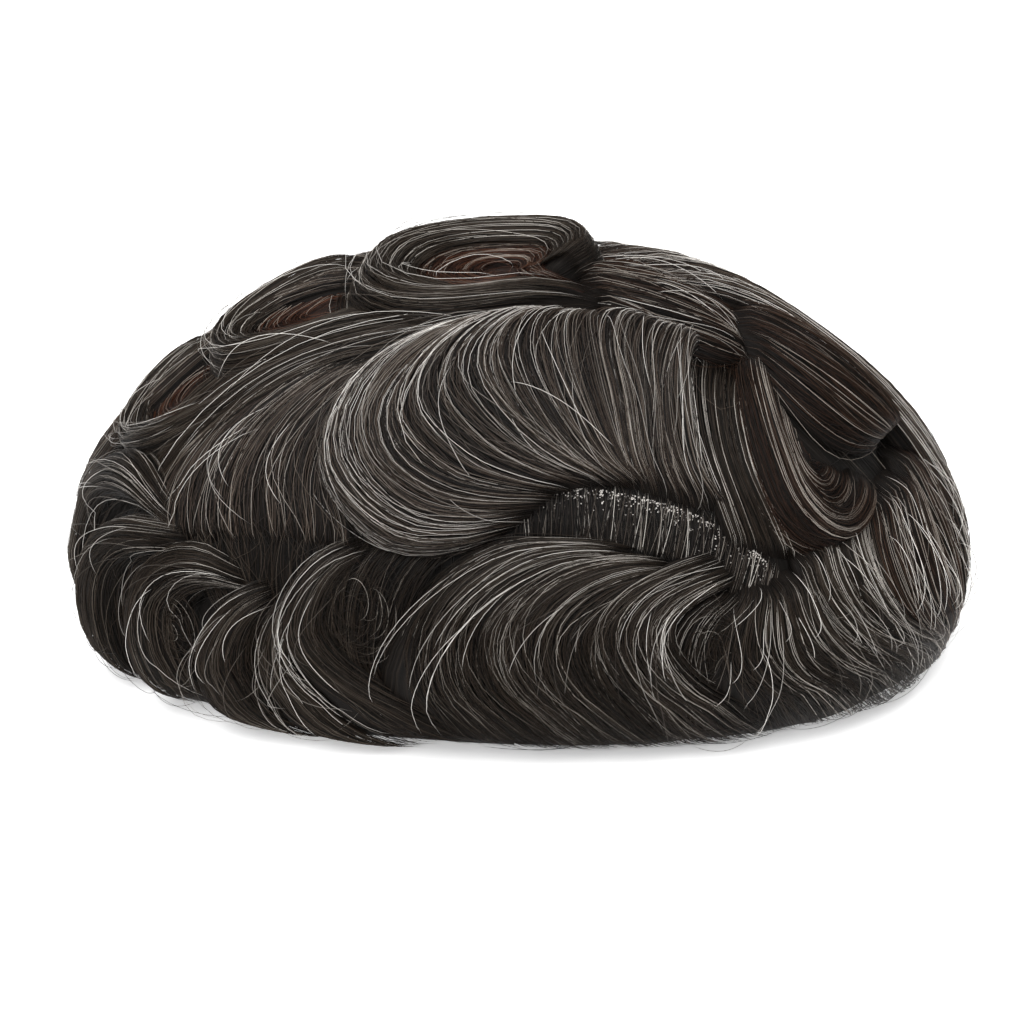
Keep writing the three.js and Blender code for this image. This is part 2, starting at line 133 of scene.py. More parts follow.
def lace_material():
    """Fine net: pale threads round dark holes, a little uneven."""
    material, wires, shader = start_material("base_lace", LACE_SHEEN)
    place = wires.node("ShaderNodeTexCoord", out=3)
    net = wires.node("ShaderNodeTexVoronoi", {"feature": "DISTANCE_TO_EDGE"},
                     {"Vector": place, "Scale": 1 / LACE_PITCH})
    cloud = wires.noise(place, LACE_CLOUDS, NOISE_DETAIL)
    stops = [(THREAD_EDGE, THREAD_COLOUR), (HOLE_EDGE, HOLE_COLOUR)]
    colour = wires.ramp(stops, net + LACE_SOFTNESS * cloud)
    feed(wires, shader, colour, LACE_ROUGHNESS + LACE_ROUGHNESS_RANGE * cloud, 1 - net, LACE_DEPTH)
    return material


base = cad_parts["base_cap"]
base.data.materials.clear()
base.data.materials.append(lace_material())

# The bed of hair: the close under-layer knotted all over the base. It is painted the darkest of the
# hair, as painted shade, because the locks on it keep the light off, and its foot turns in under
# the rim of the base all round.
HALF_LENGTH = 0.120
HALF_WIDTH = 0.087
CROWN_HEIGHT = 0.106
BELLY_LIFT = 0.0185
HEM_TUCK = 0.008
BACK_EXTRA = 0.0045
SQUARENESS = 2.45
CROWN_FLATNESS = 1.12
BELLY_SHARE = 0.87
LOCK_RISE = 0.009
BASE_HALF_LENGTH = 0.092
BASE_HALF_WIDTH = 0.066
BASE_CROWN = 0.073
RIM_LIFT = 0.008
BASE_EDGE = 0.003
RIM_LIP = 0.003
CLEARANCE = 0.0003
BED_SPOKES = 120
BED_POLE, BED_FIRST = 0.02, 0.06
BED_RINGS, BED_INNER_RINGS = 24, 18
HEM_RINGS = [0.9, 0.93, 0.96, 0.98, 1]
BED_STREAKS = (3.0, 260.0, 1.0)
BED_DEPTH = 0.0006
BED_SHEEN = 0.1
MASS_ROUGHNESS, MASS_ROUGHNESS_RANGE = 0.45, 0.2


def spoke(heading):
    """A direction of the outline seen from above, with full corners, and its lean to the back."""
    forward, sideways = np.cos(heading), np.sin(heading)
    corner = (np.abs(forward) ** SQUARENESS + np.abs(sideways) ** SQUARENESS) ** (-1 / SQUARENESS)
    return forward * corner, sideways * corner, forward


def hair_point(along, across, inset):
    """A place on the hair. Along runs from -1 at the front hem to 1 at the back, across from -1 at
    the near hem to 1 at the far one, and the inset is how deep it lies under the outer form."""
    reach = np.minimum(np.hypot(along, across), 1)
    forward, sideways, lean = spoke(np.arctan2(across, along))
    rise = np.minimum(reach / BELLY_SHARE, 1) * np.pi / 2
    turn = np.maximum((reach - BELLY_SHARE) / (1 - BELLY_SHARE), 0) * np.pi / 2
    spread = np.sin(rise) ** CROWN_FLATNESS
    dome = (CROWN_HEIGHT - inset - BELLY_LIFT) * np.maximum(np.cos(rise), 0) ** CROWN_FLATNESS
    shrink = inset + HEM_TUCK * (1 - np.cos(turn))
    return np.stack([(HALF_LENGTH - shrink) * forward * spread,
                     (HALF_WIDTH - shrink + BACK_EXTRA * lean * spread) * sideways * spread,
                     dome + BELLY_LIFT * (1 - np.sin(turn))], -1)


def base_point(reach, heading, margin):
    """A place on the outside of the base, moved out by the margin."""
    forward, sideways, lean = spoke(heading)
    spread = np.sin(reach * np.pi / 2) ** CROWN_FLATNESS
    rim = RIM_LIFT + BASE_EDGE
    height = (BASE_CROWN + margin - rim) * max(np.cos(reach * np.pi / 2), 0) ** CROWN_FLATNESS
    return np.stack([(BASE_HALF_LENGTH + margin) * forward * spread,
                     (BASE_HALF_WIDTH + margin + BACK_EXTRA * lean * spread) * sideways * spread,
                     np.full_like(heading, rim + height)], -1)


def loft(rings):
    """Points and triangles of a closed skin through rings, and its flat map: along, then round."""
    rows, count = rings.shape[:2]
    ends = rings[[0, -1]].mean(axis=1)
    points = np.concatenate([rings.reshape(-1, 3), ends])
    ring, place = np.meshgrid(np.arange(rows - 1), np.arange(count), indexing="ij")
    following = (place + 1) % count
    near, near_next = ring * count + place, ring * count + following
    far, far_next = near + count, near_next + count
    sides = np.arange(count)
    start, finish = np.full(count, rows * count), np.full(count, rows * count + 1)
    last = (rows - 1) * count
    faces = np.concatenate([
        np.stack([near, far, far_next], -1).reshape(-1, 3),
        np.stack([near, far_next, near_next], -1).reshape(-1, 3),
        np.stack([start, sides, (sides + 1) % count], -1),
        np.stack([finish, last + (sides + 1) % count, last + sides], -1)])
    low, high = (ring + 1) / (rows + 1), (ring + 2) / (rows + 1)
    left, right = place / count, (place + 1) / count
    before, middle, after = sides / count, (sides + 0.5) / count, (sides + 1) / count
    first = np.full(count, 1 / (rows + 1))
    final = np.full(count, rows / (rows + 1))
    zero, one = np.zeros(count), np.ones(count)
    flat = np.concatenate([
        np.stack([low, left, high, left, high, right], -1).reshape(-1, 3, 2),
        np.stack([low, left, high, right, low, right], -1).reshape(-1, 3, 2),
        np.stack([zero, middle, first, before, first, after], -1).reshape(-1, 3, 2),
        np.stack([one, middle, final, after, final, before], -1).reshape(-1, 3, 2)])
    corners = points[faces]
    volume = np.einsum("ij,ij->i", np.cross(corners[:, 0], corners[:, 1]), corners[:, 2]).sum()
    if volume < 0:
        faces, flat = faces[:, ::-1], flat[:, ::-1]
    return points, faces, flat


def piece(name, skin, material, slot, *nodes):
    """A mesh of the object from its points, triangles and flat map."""
    points, faces, flat = skin
    mesh = bpy.data.meshes.new(name)
    mesh.vertices.add(len(points))
    mesh.vertices.foreach_set("co", np.ascontiguousarray(points, np.float32).ravel())
    mesh.loops.add(faces.size)
    mesh.loops.foreach_set("vertex_index", np.ascontiguousarray(faces, np.int32).ravel())
    mesh.polygons.add(len(faces))
    mesh.polygons.foreach_set("loop_start", np.arange(0, faces.size, 3, dtype=np.int32))
    mesh.polygons.foreach_set("use_smooth", np.ones(len(faces), bool))
    plan = mesh.uv_layers.new(name="OFBake")
    plan.uv.foreach_set("vector", np.ascontiguousarray(flat, np.float32).ravel())
    mesh.update(calc_edges=True)
    mesh.materials.append(material)
    made = bpy.data.objects.new(name, mesh)
    bpy.context.scene.collection.objects.link(made)
    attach(made, "root")
    if nodes:
        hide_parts(*nodes)


def streaked_material(name, streaks, depth, stops, specular):
    """Combed hair seen as a mass: fine streaks that run along the flat map."""
    material, wires, shader = start_material(name, specular)
    plan = wires.node("ShaderNodeUVMap", {"uv_map": "OFBake"})
    combed = wires.node("ShaderNodeMapping", None, {"Vector": plan, "Scale": streaks})
    fine = wires.noise(combed, 1.0, NOISE_DETAIL)
    roughness = MASS_ROUGHNESS + MASS_ROUGHNESS_RANGE * fine
    feed(wires, shader, wires.ramp(stops, fine), roughness, fine, depth)
    return material


def bed_rings():
    """The skin of the bed: over the crown, down to the hem, in under the rim and up inside."""
    heading = np.linspace(0, 2 * np.pi, BED_SPOKES, endpoint=False)
    outside = [BED_POLE, *np.linspace(BED_FIRST, BELLY_SHARE, BED_RINGS), *HEM_RINGS]
    rings = [hair_point(reach * np.cos(heading), reach * np.sin(heading), LOCK_RISE)
             for reach in outside]
    for height in (0, RIM_LIFT - CLEARANCE):
        lip = base_point(1, heading, -RIM_LIP)
        lip[:, 2] = height
        rings.append(lip)
    foot = base_point(1, heading, CLEARANCE)
    foot[:, 2] = RIM_LIFT - CLEARANCE
    rings.append(foot)
    inside = [*np.linspace(1, BED_FIRST, BED_INNER_RINGS), BED_POLE]
    rings += [base_point(reach, heading, CLEARANCE) for reach in inside]
    return np.array(rings)


# The bed's dark brown, painted near black as the shade under the locks.
under_painted_shade_tones = [(0.3, (6, 5, 4)), (0.5, (12, 10, 8)), (0.72, (22, 18, 15))]
under_painted_shade_material = streaked_material("under_hair", BED_STREAKS, BED_DEPTH, under_painted_shade_tones, BED_SHEEN)
piece("hair_bed_skin", loft(bed_rings()), under_painted_shade_material, "under_hair", "hair_bed")

# The strands of the bed, which lie on it from the crown down to the hem and show in the gaps
# between the locks. Each is a three-sided tube that tapers to a point at both ends. Strands come in
# square numbers, so that their cells fill the flat map.
UNDER_CELLS = 16
UNDER_BENDS = 16
STRAND_RADIUS = 0.00009
CELL_PAD = 0.04
TIP_WIDTH, TIP_WIDENING = 0.35, 5
TINY = 1e-12
STRAND_CLOUDS, CLOUD_DETAIL = 90.0, 2.0
STRAND_ROUGHNESS, STRAND_ROUGHNESS_RANGE = 0.34, 0.2
STRAND_DEPTH = 0.00002
HAIR_SHEEN = 0.2
CLOUD_SHADE = 0.1
UNDER_STARTS, UNDER_ENDS = (0.05, 0.35), (0.9, 0.985)
UNDER_SPREAD = 0.02
UNDER_SWING, UNDER_SWINGS, UNDER_PHASE = 0.06, 1.5, 6
UNDER_LIFT = 0.0015
UNDER_SEED, UNDER_ORDER_SEED = 3, 4


def strand_skin(paths, radii, order):
    """Tubes along paths. On the flat map each has its own cell, and the cells lie in rows from the
    darkest strand at the bottom to the lightest at the top, so that the height gives the shade."""
    paths, radii = paths[np.argsort(order)], radii[np.argsort(order)]
    number, bends = paths.shape[:2]
    run = np.gradient(paths, axis=1)
    run /= np.linalg.norm(run, axis=2, keepdims=True) + TINY
    side = np.cross(run, paths - np.array([0, 0, BELLY_LIFT]))
    side /= np.linalg.norm(side, axis=2, keepdims=True) + TINY
    up = np.cross(side, run)
    share = np.linspace(0, 1, bends)
    taper = np.minimum(1, TIP_WIDTH + TIP_WIDENING * np.minimum(share, 1 - share))
    turns = np.pi * (0.5 + 2 / 3 * np.arange(3))
    thick = (radii[:, None] * taper)[:, 1:-1, None, None]
    tube = (np.cos(turns)[:, None] * side[:, 1:-1, None]
            + np.sin(turns)[:, None] * up[:, 1:-1, None])
    rings = (paths[:, 1:-1, None] + thick * tube).reshape(number, -1, 3)
    points = np.concatenate([paths[:, :1], rings, paths[:, -1:]], axis=1)
    last = 3 * (bends - 2) + 1
    faces, along, around = [], [], []
    for edge in range(3):
        other = (edge + 1) % 3
        faces += [(0, 1 + edge, 1 + other), (last, last - 3 + other, last - 3 + edge)]
        along += [(0, 1, 1), (bends - 1, bends - 2, bends - 2)]
        around += [(edge + 0.5, edge, edge + 1), (edge + 0.5, edge + 1, edge)]
        for ring in range(bends - 3):
            near, near_other = 1 + 3 * ring + edge, 1 + 3 * ring + other
            faces += [(near, near_other + 3, near_other), (near, near + 3, near_other + 3)]
            along += [(ring + 1, ring + 2, ring + 1), (ring + 1, ring + 2, ring + 2)]
            around += [(edge, edge + 1, edge + 1), (edge, edge, edge + 1)]
    faces = np.array(faces) + (np.arange(number) * (last + 1))[:, None, None]
    grid = math.ceil(math.sqrt(number))
    cell = np.arange(number) * grid * grid // number
    inner = 1 - 2 * CELL_PAD
    flat = np.stack([
        (cell[:, None, None] % grid + CELL_PAD + inner * np.array(along) / (bends - 1)) / grid,
        (cell[:, None, None] // grid + CELL_PAD + inner * np.array(around) / 3) / grid], -1)
    return points.reshape(-1, 3), faces.reshape(-1, 3), flat.reshape(-1, 3, 2)


def strand_material(name, stops, specular):
    """Strands coloured by their height on the flat map, with slow changes of shade along them."""
    material, wires, shader = start_material(name, specular)
    plan = wires.node("ShaderNodeUVMap", {"uv_map": "OFBake"})
    rank = wires.node("ShaderNodeSeparateXYZ", None, {0: plan}, 1)
    place = wires.node("ShaderNodeTexCoord", out=3)
    cloud = wires.noise(place, STRAND_CLOUDS, CLOUD_DETAIL)
    colour = wires.ramp(stops, rank + CLOUD_SHADE * (cloud - 0.5))
    roughness = STRAND_ROUGHNESS + STRAND_ROUGHNESS_RANGE * cloud
    feed(wires, shader, colour, roughness, cloud, STRAND_DEPTH)
    return material


def under_paths():
    """Strands that run from the crown to the hem in slow bends."""
    chance = np.random.default_rng(UNDER_SEED)
    number = UNDER_CELLS ** 2
    heading = np.linspace(0, 2 * np.pi, number, endpoint=False)
    heading += chance.normal(0, UNDER_SPREAD, number)
    first, last = chance.uniform(*UNDER_STARTS, number), chance.uniform(*UNDER_ENDS, number)
    share = np.linspace(0, 1, UNDER_BENDS)
    reach = first[:, None] + (last - first)[:, None] * share
    swing = chance.uniform(-UNDER_SWING, UNDER_SWING, number)[:, None]
    phase = chance.uniform(0, UNDER_PHASE, number)[:, None]
    swing = swing * np.sin(np.pi * UNDER_SWINGS * share + phase)
    inset = LOCK_RISE - chance.uniform(0, UNDER_LIFT, number)[:, None] * np.sin(np.pi * share)
    turned = heading[:, None] + swing
    return hair_point(reach * np.cos(turned), reach * np.sin(turned), inset)


under_tints = [(0, (10, 8, 7)), (0.4, (22, 18, 16)), (0.8, (36, 31, 27)),
               (0.93, (60, 54, 48)), (1, (120, 113, 105))]
under_strand_material = strand_material("under_strands", under_tints, HAIR_SHEEN)
under_number = UNDER_CELLS ** 2
under_order = np.random.default_rng(UNDER_ORDER_SEED).random(under_number)
under_skin = strand_skin(under_paths(), np.full(under_number, STRAND_RADIUS), under_order)
piece("hair_bed_strands", under_skin, under_strand_material, "under_hair")

# The flat curls along the top edge. Each is a lock combed into a ring that winds into itself, and
# its inner hair is a warm reddish brown. As everywhere on the piece, a lock is a smooth core of
# massed hair under a layer of single strands, a few of them grey or white and finer than the rest.
EDGE_RISE = 0.002
LOCK_END = 0.97
CORE_SINK = 0.0013
FOOT_SINK = 0.0015
CORE_SIDES = 7
CORE_STREAKS = (5.0, 90.0, 1.0)
CORE_DEPTH = 0.0005
ROOT_SINK = 0.0045
ROOT_SHARE = 0.14
TIP_SINK = 0.002
TIP_SHARE = 0.1
GROOVE = 0.2
RING_FALL = 0.45
SLOPE_FALL = 0.85
ROUND_POWER, ROUND_FULLNESS = 2.6, 0.6
GROOVE_POWER, SLOPE_POWER = 6, 1.4
SWEEP_FROM = 0.35
SWEEP_LIFT = 0.007
GATHER = 0.4
WISP_LIFT = 0.0006
STRAND_SINK = 0.0007
LIGHT_LIFT = 0.0015
LIGHT_FINER = 0.45
STRAND_SWAY = 0.036
STRAY_SHARE = 0.26
STRAY_SWAY = 0.12
RING_LOOSE = 1.8
WISP_SWAY = 0.01
SWAY_TURNS, WISP_TURNS = (0.3, 1), 0.7
BOW_END, BOW_POWER = 0.03, 0.4
LEAST_WISPS, WISP_SHARE = 6, 0.8
START_SPREAD, END_SPREAD = 0.14, 0.035
WISP_SHADE, DEPTH_SHADE = 0.15, 0.5
LIGHT_FROM, LIGHT_SPAN = 0.7, 0.2
SWEEP_RANGE = 0.5, 1.3
RADIUS_RANGE = 0.75, 1.3
DARK_SHEEN, DARK_MASS_SHEEN = 0.15, 0.08
SPILLS = {"round": 0.04, "falling": 0.04, "slope": 0.06, "flat": 0.16}


def shares(table):
    """A table of locks' rows, written in hundredths, turned into shares."""
    return {name: [[part / 100 for part in row] for row in rows] for name, rows in table.items()}


def row_curve(rows, share):
    """A smooth curve through a lock's rows. A row is the place of the lock's outer side and inner
    side on the hair's pattern, and how far it stands up."""
    rows = np.array(rows)
    rows = np.vstack([2 * rows[0] - rows[1], rows, 2 * rows[-1] - rows[-2]])
    place = np.clip(share, 0, 1) * (len(rows) - 3)
    step = np.minimum(place.astype(int), len(rows) - 4)
    part = (place - step)[..., None]
    before, start, end, after = (rows[step + i] for i in range(4))
    leave, arrive = (end - before) / 2, (after - start) / 2
    return (start + leave * part + (3 * (end - start) - 2 * leave - arrive) * part ** 2
            + (2 * (start - end) + leave + arrive) * part ** 3)


def swept(share):
    """How far the sweep has turned the strands: 0 where it starts and 1 at the tips."""
    return np.maximum((share - SWEEP_FROM) / (1 - SWEEP_FROM), 0) ** 2


def lock_place(rows, share, side, sweep=0):
    """A lock's place on the pattern. The sweep carries its tips to the back along the hem."""
    row = row_curve(rows, share)
    along = row[..., 0] + (row[..., 2] - row[..., 0]) * side
    across = row[..., 1] + (row[..., 3] - row[..., 1]) * side
    turn = sweep * swept(share)
    along, across = (along * np.cos(turn) - across * np.sin(turn),
                     along * np.sin(turn) + across * np.cos(turn))
    scale = np.minimum(1, LOCK_END / np.maximum(np.hypot(along, across), TINY))
    return along * scale, across * scale, row[..., 4]


def lock_point(rows, share, side, lift, edges, sweep=0):
    """A place on a lock: its share of the way to the tip, its share of the way across, and its
    lift. The outer and inner edges are round, falling to the middle of a ring, a slope down to the
    hair that the lock lies on, or flat where the wave goes on."""
    along, across, rise = lock_place(rows, share, side, sweep)
    off = 2 * side - 1
    rounded = np.maximum(1 - np.abs(off) ** ROUND_POWER, 0) ** ROUND_FULLNESS
    level = 1 - GROOVE * np.minimum(np.abs(off), 1) ** GROOVE_POWER
    sloping = 1 - SLOPE_FALL * np.minimum(np.abs(off), 1) ** SLOPE_POWER
    edge = np.where(off < 0, edges[0], edges[1])
    crown = np.select([edge == "round", edge == "falling", edge == "slope"],
                      [rounded, 1 - RING_FALL * off, sloping], level)
    crest = np.maximum(LOCK_RISE * rise - EDGE_RISE, 0) * crown
    sink = ROOT_SINK * np.maximum(1 - share / ROOT_SHARE, 0) ** 2
    sink = sink + TIP_SINK * np.maximum(1 - (1 - share) / TIP_SHARE, 0) ** 2
    return hair_point(along, across, LOCK_RISE - EDGE_RISE - crest - lift + sink)


def core_rings(rows, bends, edges):
    """Cuts across a lock's core: over its top from edge to edge and back under it."""
    share = np.linspace(0, 1, bends)[:, None]
    low, high = (-SPILLS[edge] for edge in edges)
    top = np.linspace(low, 1 - high, CORE_SIDES)[None]
    under = top[:, ::-2]
    over = lock_point(rows, share, top, -CORE_SINK, edges)
    along, across, _ = lock_place(rows, share, under)
    return np.concatenate([over, hair_point(along, across, LOCK_RISE + FOOT_SINK)], axis=1)


def lock_paths(rows, number, bends, chance, edges, sweep):
    """The strands of a lock, gathered in wisps, with each one's order from dark to light."""
    wisps = max(LEAST_WISPS, round(number ** 0.5 * WISP_SHARE))
    side = (np.arange(number) + chance.random(number)) / number
    wisp = np.minimum((side * wisps).astype(int), wisps - 1)
    middle = (wisp + 0.5) / wisps
    off_middle = side * wisps - wisp - 0.5
    share = np.linspace(0, 1, bends)
    first = chance.uniform(0, START_SPREAD, number)
    last = 1 - np.abs(chance.normal(0, END_SPREAD, number))
    way = first[:, None] + (last - first)[:, None] * share
    gather = chance.uniform(0, GATHER, wisps)[wisp][:, None] * way ** 2
    place = side[:, None] + (middle - side)[:, None] * gather
    stray = np.where(chance.random(number) < STRAY_SHARE, STRAY_SWAY, STRAND_SWAY)
    stray = stray * chance.normal(0, 1, number) * (RING_LOOSE if "falling" in edges else 1)
    turns = way * chance.uniform(*SWAY_TURNS, number)[:, None] + chance.random(number)[:, None]
    place += stray[:, None] * np.sin(2 * np.pi * turns)
    sway = chance.normal(0, WISP_SWAY, wisps)[wisp][:, None]
    place += sway * np.sin(2 * np.pi * (way * WISP_TURNS + chance.random(wisps)[wisp][:, None]))
    low, high = (-SPILLS[edge] for edge in edges)
    place = low + (1 - high - low) * place
    round_wisp = np.sqrt(np.maximum(1 - (2 * off_middle) ** 2, 0))
    height = chance.uniform(0, 1, wisps)[wisp] * round_wisp
    depth = chance.uniform(0, 1, number) ** 2
    bow = np.sin(np.pi * np.clip(way, BOW_END, 1 - BOW_END)) ** BOW_POWER
    lift = (WISP_LIFT * height - STRAND_SINK * depth)[:, None] * bow
    shade = chance.random(wisps)[wisp] * WISP_SHADE + chance.random(number) - DEPTH_SHADE * depth
    lift = lift + LIGHT_LIFT * np.clip(shade[:, None] - LIGHT_FROM, 0, LIGHT_SPAN)
    tips = sweep * chance.uniform(*SWEEP_RANGE, number)[:, None]
    lift = lift + SWEEP_LIFT * np.abs(tips) * swept(way)
    return lock_point(rows, way, place, lift, edges, tips), shade


def lock(name, rows, node, cells, bends, seed, kind, edges=("round", "round"), sweep=0):
    """One lock: a smooth core of massed hair and the strands that lie over it, as many as the cells
    squared. The kind is the finish of the core, the finish of the strands, and a slot, which is
    not used."""
    chance = np.random.default_rng(seed)
    core_finish, strand_finish, slot = kind
    piece(name + "_core", loft(core_rings(rows, bends, edges)), core_finish, slot, node)
    paths, shade = lock_paths(rows, cells ** 2, bends, chance, edges, sweep)
    radii = STRAND_RADIUS * chance.uniform(*RADIUS_RANGE, cells ** 2)
    rank = np.argsort(np.argsort(shade)) / cells ** 2
    radii *= 1 - LIGHT_FINER * np.clip((rank - LIGHT_FROM) / LIGHT_SPAN, 0, 1)
    piece(name + "_strands", strand_skin(paths, radii, shade), strand_finish, slot, node)


warm_core = streaked_material(
    "warm_hair_mass", CORE_STREAKS, CORE_DEPTH,
    [(0.3, (14, 10, 8)), (0.5, (38, 23, 16)), (0.72, (70, 42, 28))], HAIR_SHEEN)
warm_strands = strand_material(
    "warm_hair_strands",
    [(0, (7, 4, 3)), (0.4, (28, 14, 8)), (0.75, (56, 29, 15)), (0.9, (76, 43, 26)),
     (0.96, (88, 65, 51)), (1, (150, 140, 130))], HAIR_SHEEN)
warm = warm_core, warm_strands, "warm_hair"

dark_core = streaked_material(
    "dark_hair_mass", CORE_STREAKS, CORE_DEPTH,
    [(0.3, (7, 6, 5)), (0.5, (16, 13, 11)), (0.72, (30, 25, 21))], DARK_MASS_SHEEN)
# Painted shade: the dark brown, grey-streaked hair in a ramp made darker than its own colour, for
# most of the locks, the low hair in the hollows, the hem hairs and the tangles.
dark_painted_shade_strands = strand_material(
    "dark_hair_painted_shade_strands",
    [(0, (6, 5, 4)), (0.35, (18, 14, 10)), (0.6, (32, 25, 19)), (0.8, (45, 37, 30)),
     (0.9, (56, 48, 41)), (0.96, (80, 73, 65)), (1, (198, 192, 184))], DARK_SHEEN)
# Painted light: the same hair in a ramp made lighter, for the wave and the combed panel where they
# catch the light, and for the far waves, which the lamps light less.
painted_light_strands = strand_material(
    "painted_light_hair_strands",
    [(0, (6, 4, 3)), (0.35, (19, 14, 11)), (0.6, (38, 30, 24)), (0.8, (63, 52, 44)),
     (0.9, (97, 87, 78)), (0.96, (154, 147, 139)), (1, (240, 236, 230))], HAIR_SHEEN)
auburn_strands = strand_material(
    "auburn_hair_strands",
    [(0, (5, 4, 3)), (0.4, (14, 9, 6)), (0.7, (31, 18, 11)), (0.86, (46, 29, 19)),
     (0.93, (64, 50, 40)), (1, (160, 152, 143))], DARK_SHEEN)

# The kinds: the first has the painted shade, the second the painted light, the third browner hair.
dark_painted_shade = dark_core, dark_painted_shade_strands, "dark_hair"
painted_light = dark_core, painted_light_strands, "dark_hair"
auburn = dark_core, auburn_strands, "dark_hair"

BOWL_OVERLAP = 0.15
BOWL_TURN, BOWL_RISE = 0.66, 0.43
BOWL_CELLS_FEWER, BOWL_BENDS_FEWER = 6, 4
CURL_SEED, BOWL_SEED = 11, 15


def bowl_rows(rows, turn_in, rise):
    """The hair inside a ring: the ring's rows carried on from its inner side towards its middle."""
    middle = np.mean([row[2:4] for row in rows], axis=0)
    bowl = []
    for row in rows:
        inner = np.array(row[2:4])
        outer = inner + BOWL_OVERLAP * (inner - middle)
        bowl.append([*outer, *(inner + turn_in * (middle - inner)), rise * row[4]])
    return bowl


def fuller(name, grow, raised):
    """A ring a little wider than its rows and standing higher, as its loose outer hair does."""
    rows = ring_rows[name]
    middle = np.mean([row[2:4] for row in rows], axis=0)
    return [(*(middle + grow * (np.array(row[:2]) - middle)), *row[2:4], raised * row[4])
            for row in rows]


ring_rows = shares({
    "crown_curl": [
        (12, -10, 10, -4, 80), (3, -14.5, 3, -7, 95), (-7, -16, -6, -10, 105),
        (-15.5, -13, -11, -8, 110), (-21, -3, -15, -2, 115), (-19, 9, -13, 5, 120),
        (-11, 17, -8, 10, 120), (-1, 19, -1, 11, 125), (7, 15, 4, 10, 125),
        (10.5, 6, 5.5, 4, 110), (7, 0, 3, 0, 80),
    ],
    "second_curl": [
        (-17, -13, -17, -5, 70), (-25, -14, -24, -7, 85), (-33, -14, -31, -7, 95),
        (-40, -10, -36, -4, 105), (-43, 0, -38, 1, 110), (-41, 9, -36, 5, 115),
        (-35, 15, -31, 8, 115), (-27, 17, -26, 10, 115), (-20, 16, -21, 10, 100),
    ],
    "third_curl": [
        (-36, -20, -37, -13, 70), (-45, -20, -44, -14, 80), (-53, -17, -51, -12, 90),
        (-60, -8, -56, -6, 100), (-62, 3, -56, 1, 105), (-58, 11, -53, 6, 110),
        (-50, 15, -48, 8, 110), (-42, 15, -42, 9, 90),
    ],
})
# For each ring its rows, made wider and higher, its cells, and the bends of a strand.
curls = {"crown_curl": (fuller("crown_curl", 1.18, 1.22), 20, 22),
         "second_curl": (fuller("second_curl", 1.15, 1.12), 18, 18),
         "third_curl": (fuller("third_curl", 1.12, 1.05), 16, 16)}
curls_rows = {name: rows for name, (rows, _, _) in curls.items()}
# The rings' strands carry the painted shade, and the bowls keep their own warm colour.
for number, (name, (rows, cells, bends)) in enumerate(curls.items()):
    lock(name, rows, name, cells, bends, CURL_SEED + number, dark_painted_shade, ("slope", "falling"))
    lock(name + "_bowl", bowl_rows([*rows, rows[0]], BOWL_TURN, BOWL_RISE), name,
         cells - BOWL_CELLS_FEWER, bends - BOWL_BENDS_FEWER, BOWL_SEED + number, warm,
         ("falling", "falling"))

# The hair that lies flat over the crown, combed from the whorl down between the curls and the wave.
# It is dark brown with single white hairs, the main hair of the piece.
crown_rows = shares({
    "middle_sweep": [
        (10, -15, 10, -8, 50), (0, -19, 0, -12, 55), (-10, -22, -10, -13, 60),
        (-20, -22, -20, -11, 60), (-30, -23, -30, -9, 60), (-40, -26, -40, -8, 60),
        (-50, -29, -50, -10, 50), (-57, -31, -57, -14, 35),
    ],
    "whorl_sweep": [
        (9, -9, 7, 8, 50), (16, -13, 14, 11, 60), (22, -14, 21, 12, 65),
        (28, -13, 28, 11, 60), (33, -12, 33, 8, 40),
    ],
    "combed_panel": [
        (-12, -21, -17, -16, 40), (-20, -27, -28, -19, 55), (-25, -35, -38, -23, 60),
        (-27, -43, -45, -29, 65), (-27, -50, -49, -36, 60), (-28, -55, -51, -43, 40),
    ],
})
FLAT = "flat", "flat"
# The middle sweep's strands carry the painted shade.
lock("middle_sweep", crown_rows["middle_sweep"], "crown_sweep", 17, 12, 21, dark_painted_shade, FLAT)
# The combed panel's strands carry the painted light: the same hair painted lighter where it catches
# the light.
lock("combed_panel", crown_rows["combed_panel"], "crown_sweep", 18, 12, 22, painted_light, FLAT)
lock("whorl_sweep", crown_rows["whorl_sweep"], "whorl_sweep", 17, 10, 23, auburn, FLAT)

# The big wave, swept over the crown from the parting in five locks that lie on each other like
# shingles. It is the same grey-streaked hair, set over a roller, and the highest of it catches the
# most light, so all its strands are painted lighter, as painted light.
wave_rows = shares({
    "wave_outer": [
        (0, -56, 7, -50, 50), (-10, -59, -2, -51, 80), (-19, -57, -10, -49, 100),
        (-25, -48, -16, -43, 110), (-26.5, -38, -17.5, -35, 115), (-22, -27, -14, -27, 115),
        (-14, -21, -7, -20, 100), (-4, -17, 0, -16, 70),
    ],
    "wave_second": [
        (6, -50, 16, -45.5, 40), (-3, -50, 9, -44, 65), (-11, -47, 2, -39, 85),
        (-17, -38, -3, -31, 100), (-15, -28, -3, -24, 105), (-8, -20, 1, -18, 95),
        (0, -16, 6, -14.5, 70),
    ],
    "wave_middle": [
        (15, -47, 20, -45.5, 40), (7, -44, 16, -42, 60), (0, -37, 13.5, -34, 85),
        (-3.5, -28, 12, -26, 100), (-1, -20, 11, -18.5, 100), (5, -15, 12, -14, 75),
    ],
    "wave_fourth": [
        (17, -47, 25, -47.5, 40), (14, -41, 20.5, -42, 70), (12, -32, 19, -33, 95),
        (10.5, -23, 18, -25, 105), (11.5, -16, 19, -18, 105), (15, -12.5, 21, -14, 80),
    ],
    "wave_inner": [
        (25, -48, 33, -46, 40), (20, -40, 26.5, -42, 70), (18, -32, 23.5, -34, 95),
        (18, -24, 22.5, -25, 105), (19.5, -16.5, 23, -19, 105), (21.5, -13, 25, -15, 80),
    ],
})
WAVE_BENDS = 16
